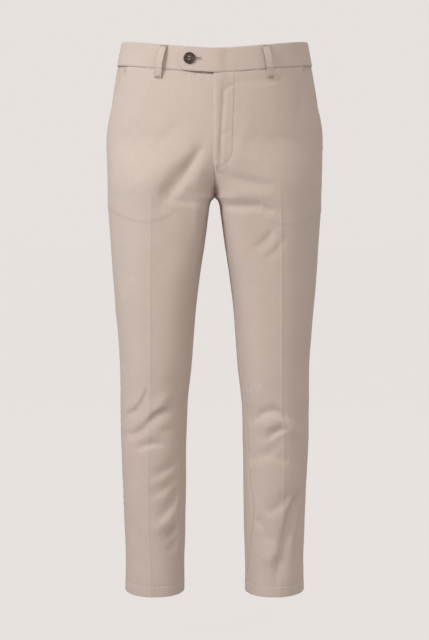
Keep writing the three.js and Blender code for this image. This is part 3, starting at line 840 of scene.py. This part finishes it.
def addLoop(name, work):
    size = loopSize
    side, face, top, bottom = loopPlaces[name]
    t, s = np.meshgrid(np.linspace(0, 1, size["rows"]), np.linspace(-1, 1, size["columns"]), indexing="ij")
    point, normal, base = loopSurface(side, face, top, bottom, t, s)
    edge = rounded(np.minimum(1 - np.abs(s), .12) / .12)
    end = rounded(np.clip(np.minimum(t, 1 - t) / .03, 0, 1))
    half = size["thick"] / 2 * (.35 + .65 * edge * (.3 + .7 * end))
    seam = np.exp(-((np.abs(s) - size["seamShare"]) / .10) ** 2)
    middle = base + size["thick"] / 2
    sewn = (size["wave"] * np.sin(t * 41 + s * 2) - size["seamSink"]) * seam
    outer = point + normal * (middle + half + sewn)[..., None]
    inner = point + normal * (middle - half)[..., None]
    piece = wallMesh("cloth_" + name, outer, inner, gridUv(outer, 0))
    run = np.linspace(.02, .98, 40)
    for line in (-size["seamShare"], size["seamShare"]):
        point, normal, base = loopSurface(side, face, top, bottom, run, np.full_like(run, line))
        stitchLine(work, point + normal * (base + size["thick"] - .00022)[:, None], normal, .0027, .00021)
    for spot in (.045, .955):
        point, normal, base = loopSurface(side, face, top, bottom, np.array([spot]), np.array([0.0]))
        out = normal[0]
        level = np.cross([0, 0, 1.0], out)
        level /= np.linalg.norm(level)
        at = point[0] + out * (base[0] + size["thick"])
        barTack(work, at, level, np.cross(out, level), out, *size["tackSize"], size["tackTurns"])
    return finishCloth(piece, name)


# Materials.

def newGroup(name, inputs, outputs):
    group = bpy.data.node_groups.new(name, "ShaderNodeTree")
    for label, kind, value in inputs:
        socket = group.interface.new_socket(label, in_out="INPUT", socket_type=kind)
        if value is not None:
            socket.default_value = value
    for label, kind in outputs:
        group.interface.new_socket(label, in_out="OUTPUT", socket_type=kind)
    return group, group.nodes.new("NodeGroupInput"), group.nodes.new("NodeGroupOutput")


def mathNode(tree, operation, a, b=None, c=None):
    node = tree.nodes.new("ShaderNodeMath")
    node.operation = operation
    for socket, value in zip(node.inputs, (a, b, c)):
        if value is None:
            continue
        if isinstance(value, (int, float)):
            socket.default_value = value
        else:
            tree.links.new(value, socket)
    return node.outputs[0]


def noiseNode(tree, vector, scale, detail, stretch=None):
    if stretch:
        mapping = tree.nodes.new("ShaderNodeMapping")
        mapping.inputs["Scale"].default_value = stretch
        tree.links.new(vector, mapping.inputs["Vector"])
        vector = mapping.outputs[0]
    node = tree.nodes.new("ShaderNodeTexNoise")
    node.inputs["Scale"].default_value = scale
    node.inputs["Detail"].default_value = detail
    tree.links.new(vector, node.inputs["Vector"])
    return node.outputs["Fac"]


weaveLook = {"warp": .5, "weft": .3, "diagonal": .22, "slub": .8, "dye": .55, "dyeScale": 22}


def weaveGroup():  # a fine linen twill: its height, and a shade from -1 to 1 for slubs and dye
    group, start, end = newGroup(
        "linenWeave", [("Vector", "NodeSocketVector", None), ("Pitch", "NodeSocketFloat", .0005)],
        [("Height", "NodeSocketFloat"), ("Shade", "NodeSocketFloat")])

    def scaled(value, factor):
        return mathNode(group, "MULTIPLY", value, factor)

    def ribs(value):
        return mathNode(group, "ABSOLUTE", mathNode(group, "SINE", scaled(value, math.pi)))

    at = start.outputs["Vector"]
    split = group.nodes.new("ShaderNodeSeparateXYZ")
    group.links.new(at, split.inputs[0])
    u, v = (mathNode(group, "DIVIDE", split.outputs[i], start.outputs["Pitch"]) for i in (0, 1))
    diagonal = mathNode(group, "SINE", scaled(mathNode(group, "ADD", u, v), 2 * math.pi / 3))
    woven = mathNode(group, "ADD", scaled(ribs(u), weaveLook["warp"]), scaled(ribs(v), weaveLook["weft"]))
    woven = mathNode(group, "ADD", woven, scaled(diagonal, weaveLook["diagonal"]))
    slubAcross = noiseNode(group, at, 1, 2, (70, 1700, 1))
    slubDown = noiseNode(group, at, 1, 2, (1500, 55, 1))
    slub = mathNode(group, "SUBTRACT", mathNode(group, "ADD", slubAcross, slubDown), 1.0)
    dye = mathNode(group, "SUBTRACT", noiseNode(group, at, weaveLook["dyeScale"], 4), .5)
    height = mathNode(group, "ADD", woven, scaled(slub, weaveLook["slub"]))
    group.links.new(height, end.inputs["Height"])
    group.links.new(mathNode(group, "ADD", slub, scaled(dye, weaveLook["dye"])), end.inputs["Shade"])
    return group


def newMaterial(name):
    material = bpy.data.materials.new(name)
    material.use_nodes = True
    return material, material.node_tree, material.node_tree.nodes["Principled BSDF"]


def mixColour(tree, factor, dark, light):
    mix = tree.nodes.new("ShaderNodeMix")
    mix.data_type = "RGBA"
    tree.links.new(factor, mix.inputs[0])
    mix.inputs[6].default_value = (*dark, 1)
    mix.inputs[7].default_value = (*light, 1)
    return mix.outputs[2]


def bumpFrom(tree, height, distance, strength, shader):
    bump = tree.nodes.new("ShaderNodeBump")
    bump.inputs["Strength"].default_value = strength
    bump.inputs["Distance"].default_value = distance
    tree.links.new(height, bump.inputs["Height"])
    tree.links.new(bump.outputs[0], shader.inputs["Normal"])


clothLook = {
    # the second shade entry paints shade into the colour: darker where the weave is low, in the grooves
    # between yarns
    "dark": (.490, .385, .330), "light": (.640, .520, .460), "slubShade": .55, "paintedGrooveShade": .14,
    "pitch": .00055, "bumpDepth": .00016, "bumpStrength": .55,
    "roughness": .88, "shine": .25, "sheen": .12, "sheenRoughness": .5,
}
threadLook = {
    "dark": (.46, .36, .28), "light": (.62, .50, .41), "roughness": .6, "twist": 3200, "bumpDepth": .0001,
}
hornLook = {
    "dark": (.006, .0035, .0022), "light": (.075, .036, .018), "stops": (.34, .72), "streak": 130,
    "coat": .12, "bumpDepth": .0001,
}


def clothMaterial(weave):
    material, tree, shader = newMaterial("sandLinen")
    uv = tree.nodes.new("ShaderNodeUVMap")
    uv.uv_map = "clothUv"
    cloth = tree.nodes.new("ShaderNodeGroup")
    cloth.node_tree = weave
    cloth.inputs["Pitch"].default_value = clothLook["pitch"]
    tree.links.new(uv.outputs[0], cloth.inputs["Vector"])
    shade = mathNode(tree, "MULTIPLY_ADD", cloth.outputs["Shade"], clothLook["slubShade"], .5)
    # painted shade: the colour follows the weave's height, darker in the low grooves between yarns; the slub
    # part of that height only adds to the slubs' own lighter tone
    ribs = mathNode(tree, "SUBTRACT", cloth.outputs["Height"], .5)
    shade = mathNode(tree, "MULTIPLY_ADD", ribs, clothLook["paintedGrooveShade"], shade)
    tree.links.new(mixColour(tree, shade, clothLook["dark"], clothLook["light"]), shader.inputs["Base Color"])
    shader.inputs["Roughness"].default_value = clothLook["roughness"]
    shader.inputs["Specular IOR Level"].default_value = clothLook["shine"]
    shader.inputs["Sheen Weight"].default_value = clothLook["sheen"]
    shader.inputs["Sheen Roughness"].default_value = clothLook["sheenRoughness"]
    bumpFrom(tree, cloth.outputs["Height"], clothLook["bumpDepth"], clothLook["bumpStrength"], shader)
    return material


def threadMaterial():
    material, tree, shader = newMaterial("sewingThread")
    at = tree.nodes.new("ShaderNodeTexCoord").outputs["Object"]
    twist = noiseNode(tree, at, threadLook["twist"], 2)
    colour = mixColour(tree, twist, threadLook["dark"], threadLook["light"])
    tree.links.new(colour, shader.inputs["Base Color"])
    shader.inputs["Roughness"].default_value = threadLook["roughness"]
    bumpFrom(tree, twist, threadLook["bumpDepth"], .6, shader)
    return material


def hornMaterial():
    material, tree, shader = newMaterial("darkHorn")
    at = tree.nodes.new("ShaderNodeTexCoord").outputs["Object"]
    streak = noiseNode(tree, at, hornLook["streak"], 5, (1, 1, 2.4))
    ramp = tree.nodes.new("ShaderNodeValToRGB")
    tree.links.new(streak, ramp.inputs[0])
    for stop, position, colour in zip(ramp.color_ramp.elements, hornLook["stops"], ("dark", "light")):
        stop.position, stop.color = position, (*hornLook[colour], 1)
    tree.links.new(ramp.outputs[0], shader.inputs["Base Color"])
    tree.links.new(mathNode(tree, "MULTIPLY_ADD", streak, .25, .20), shader.inputs["Roughness"])
    shader.inputs["Coat Weight"].default_value = hornLook["coat"]
    bumpFrom(tree, streak, hornLook["bumpDepth"], .25, shader)
    return material


# Building it.

panels = {(face, side): addPanel(face, side) for face in ("front", "back") for side in (-1, 1)}
facings = [addFacing(side) for side in (-1, 1)]
print("panels and pocket facings built")
bands = [addBand(side) for side in (-1, 1)]
loopThreads = ThreadWork()
loops = [addLoop(name, loopThreads) for name in loopPlaces]
print("waistband and belt loops built")
buttonPiece = addButton()


seamTack = {"flyLevel": -.2225, "flyAcross": .0034, "flySize": (.0065, .0020), "mouthAcross": .0030,
            "mouthTop": -.0505, "mouthSize": (.0070, .0024), "turns": 14}


def frontLine(side, level, turn):  # points and normals along a line on one front
    return clothAt(handed("front", side), "front", side, turn, level)


def sewFly(work):
    level = np.linspace(-.0445, flyCurve["level"], 70)
    stitchLine(work, *frontLine(1, level, turnAcross("front", level, flyStitchAcross(level))))
    bend = np.linspace(0, math.pi / 2, 30)
    level = flyCurve["level"] - flyCurve["drop"] * np.sin(bend)
    stitchLine(work, *frontLine(1, level, turnAcross("front", level, flyCurve["across"] * np.cos(bend))))
    level = np.array([seamTack["flyLevel"]])
    point, normal = frontLine(1, level, turnAcross("front", level, seamTack["flyAcross"]))
    barTack(work, point[0], (0, 0, 1), (1, 0, 0), normal[0], *seamTack["flySize"], seamTack["turns"])


def mouthTurn(level, away):  # the turn of a place beside the pocket mouth
    return (pocketSlant(level) + away) / turnSpeed("front", 0, level)


def sewPocket(work, side):
    level = np.linspace(-.050, cut["pocketEnd"] + .008, 60)
    stitchLine(work, *frontLine(side, level, mouthTurn(level, panelFinish["mouthStitch"])))
    for spot in (seamTack["mouthTop"], cut["pocketEnd"] + .004):
        level = np.array([spot])
        point, normal = frontLine(side, level, mouthTurn(level, seamTack["mouthAcross"]))
        tangent = np.cross([0, 0, 1.0], normal[0])
        barTack(work, point[0], (0, 0, 1), tangent, normal[0], *seamTack["mouthSize"], seamTack["turns"])


def sewHem(work, face, side):
    level = np.full(120, cut["hem"] + cut["hemDepth"])
    turn = np.linspace(sideEdge(face, level)[0], innerEdge(face, side, level)[0], 120)
    stitchLine(work, *clothAt(handed(face, side), face, side, turn, level))


seamThreads = ThreadWork()
sewFly(seamThreads)
for side in (-1, 1):
    sewPocket(seamThreads, side)
    for face in ("front", "back"):
        sewHem(seamThreads, face, side)
stitches = seamThreads.build("seam_stitches")
loopStitches = loopThreads.build("belt_loop_stitches")


# How far out and up each point of one stitch lies.
satinStitch = ((0, -.0004), (.0001, .0003), (.0009, .0005), (.0017, .0003), (.0019, -.0003))


def sewButtonhole():  # a satin-stitched edge round the keyhole, and a tack at its end
    work = ThreadWork()
    at = bandFrame(buttonSize["across"], buttonSize["level"], 0)
    radius, end = buttonholeSize["eyelet"], buttonholeSize["slitEnd"]
    route = []
    for a in np.linspace(math.radians(18), math.radians(342), 40):
        route.append(((radius * math.cos(a), radius * math.sin(a)), (math.cos(a), math.sin(a))))
    for sign in (1, -1):
        for x in np.arange(radius + .0002, end, .00042):
            route.append(((x, sign * buttonholeSize["slitHalf"]), (0, sign)))
    for (x, y), (dx, dy) in route:
        work.add([at @ Vector((x + dx * w, y + dy * w, h)) for w, h in satinStitch], .00023, 5)
    sideways, up, out = (at.col[i].xyz for i in range(3))
    barTack(work, at @ Vector((end + .0008, 0, .0003)), up, sideways, out, .0046, .0022, 9)
    return work.build("buttonhole_stitches")


def sewButton():  # the shank through the eyelet, and the threads across the four holes
    work = ThreadWork()
    size = buttonSize
    at = bandFrame(size["across"], size["level"], 0)
    face = size["seat"] + size["thick"] - size["dish"] + .0002
    spread = size["holeSpread"]
    arch = ((-1, -.0026), (-1, -.0001), (-.6, .00035), (0, .0005), (.6, .00035), (1, -.0001), (1, -.0026))
    for y in (-spread, spread):
        for off in (-.00042, 0, .00042):
            work.add([at @ Vector((x * spread, y + off, face + z)) for x, z in arch], .00024)
    for k in range(6):
        a = k * math.pi / 3
        x, y = .0008 * math.cos(a), .0008 * math.sin(a)
        work.add([at @ Vector((x, y, z)) for z in (-.0036, -.0018, 0, size["seat"] + .0003)], .0004)
    piece = work.build("button_threads")
    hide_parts("button_shank")
    return piece


buttonholeEdge = sewButtonhole()
buttonThreads = sewButton()
print("stitches and button built")

weave = weaveGroup()
cloth, thread, horn = clothMaterial(weave), threadMaterial(), hornMaterial()
for piece in [*panels.values(), *facings, *bands, *loops]:
    piece.data.materials.append(cloth)
for piece in (stitches, loopStitches, buttonholeEdge, buttonThreads):
    piece.data.materials.append(thread)
buttonPiece.data.materials.append(horn)

# Stage, light and camera.

stageLook = {
    "backdrop": (.791, .753, .730), "floorColour": (.42, .40, .385), "floorBelowHem": .095, "floorGlow": 1.04,
    "cameraShare": .94, "worldLight": .65,
}


def addStage():
    bpy.ops.mesh.primitive_plane_add(size=60, location=(0, 0, cut["hem"] - stageLook["floorBelowHem"]))
    floor = bpy.context.object
    floor.name = "floor"
    material, tree, shader = newMaterial("paleFloor")
    shader.inputs["Base Color"].default_value = (*stageLook["floorColour"], 1)
    shader.inputs["Roughness"].default_value = 1
    shader.inputs["Specular IOR Level"].default_value = 0
    glow = tree.nodes.new("ShaderNodeEmission")
    glow.inputs["Color"].default_value = (*stageLook["backdrop"], 1)
    glow.inputs["Strength"].default_value = stageLook["floorGlow"]
    rays = tree.nodes.new("ShaderNodeLightPath")
    mix = tree.nodes.new("ShaderNodeMixShader")
    seen = mathNode(tree, "MULTIPLY", rays.outputs["Is Camera Ray"], stageLook["cameraShare"])
    tree.links.new(seen, mix.inputs[0])
    tree.links.new(shader.outputs[0], mix.inputs[1])
    tree.links.new(glow.outputs[0], mix.inputs[2])
    tree.links.new(mix.outputs[0], tree.nodes["Material Output"].inputs["Surface"])
    floor.data.materials.append(material)


def addWorld():
    world = bpy.data.worlds.new("studio")
    bpy.context.scene.world = world
    world.use_nodes = True
    tree = world.node_tree
    light = tree.nodes["Background"]
    light.inputs["Color"].default_value = (1, .985, .965, 1)
    light.inputs["Strength"].default_value = stageLook["worldLight"]
    seen = tree.nodes.new("ShaderNodeBackground")
    seen.inputs["Color"].default_value = (*stageLook["backdrop"], 1)
    rays = tree.nodes.new("ShaderNodeLightPath")
    mix = tree.nodes.new("ShaderNodeMixShader")
    shown = mathNode(tree, "MAXIMUM", rays.outputs["Is Camera Ray"], rays.outputs["Is Glossy Ray"])
    tree.links.new(shown, mix.inputs[0])
    tree.links.new(light.outputs[0], mix.inputs[1])
    tree.links.new(seen.outputs[0], mix.inputs[2])
    tree.links.new(mix.outputs[0], tree.nodes["World Output"].inputs["Surface"])


lamps = {  # where it is, what it points at, its size, power, colour and spread
    "keyLamp": ((-1.8, -1.40, .80), (0, 0, -.38), .7, 9.1, (.89, .96, 1), 90),
    "fillLamp": ((.5, -2.8, .3), (0, 0, -.5), .8, 17, (1, .965, .925), 180),
    "backLamp": ((.9, 2.6, .5), (0, 0, -.5), .9, 16, (1, .975, .95), 180),
}


def addLamp(name):
    at, aim, size, power, colour, spread = lamps[name]
    lamp = bpy.data.lights.new(name, "AREA")
    lamp.shape = "SQUARE"
    lamp.size, lamp.energy, lamp.color, lamp.spread = size, power, colour, math.radians(spread)
    holder = bpy.data.objects.new(name, lamp)
    holder.location = at
    holder.rotation_euler = (Vector(aim) - Vector(at)).to_track_quat("-Z", "Y").to_euler()
    bpy.context.scene.collection.objects.link(holder)


cameraSize = {"lens": 87.5, "sensor": 36, "at": (-.0003, -2.8, -.293), "tilt": 90 - 4.12}


def addCamera():
    lens = bpy.data.cameras.new("camera")
    lens.lens, lens.sensor_width = cameraSize["lens"], cameraSize["sensor"]
    holder = bpy.data.objects.new("camera", lens)
    holder.location = cameraSize["at"]
    holder.rotation_euler = (math.radians(cameraSize["tilt"]), 0, 0)
    bpy.context.scene.collection.objects.link(holder)
    bpy.context.scene.camera = holder


addStage()
addWorld()
for name in lamps:
    addLamp(name)
addCamera()
bpy.context.scene.view_settings.view_transform = "Standard"
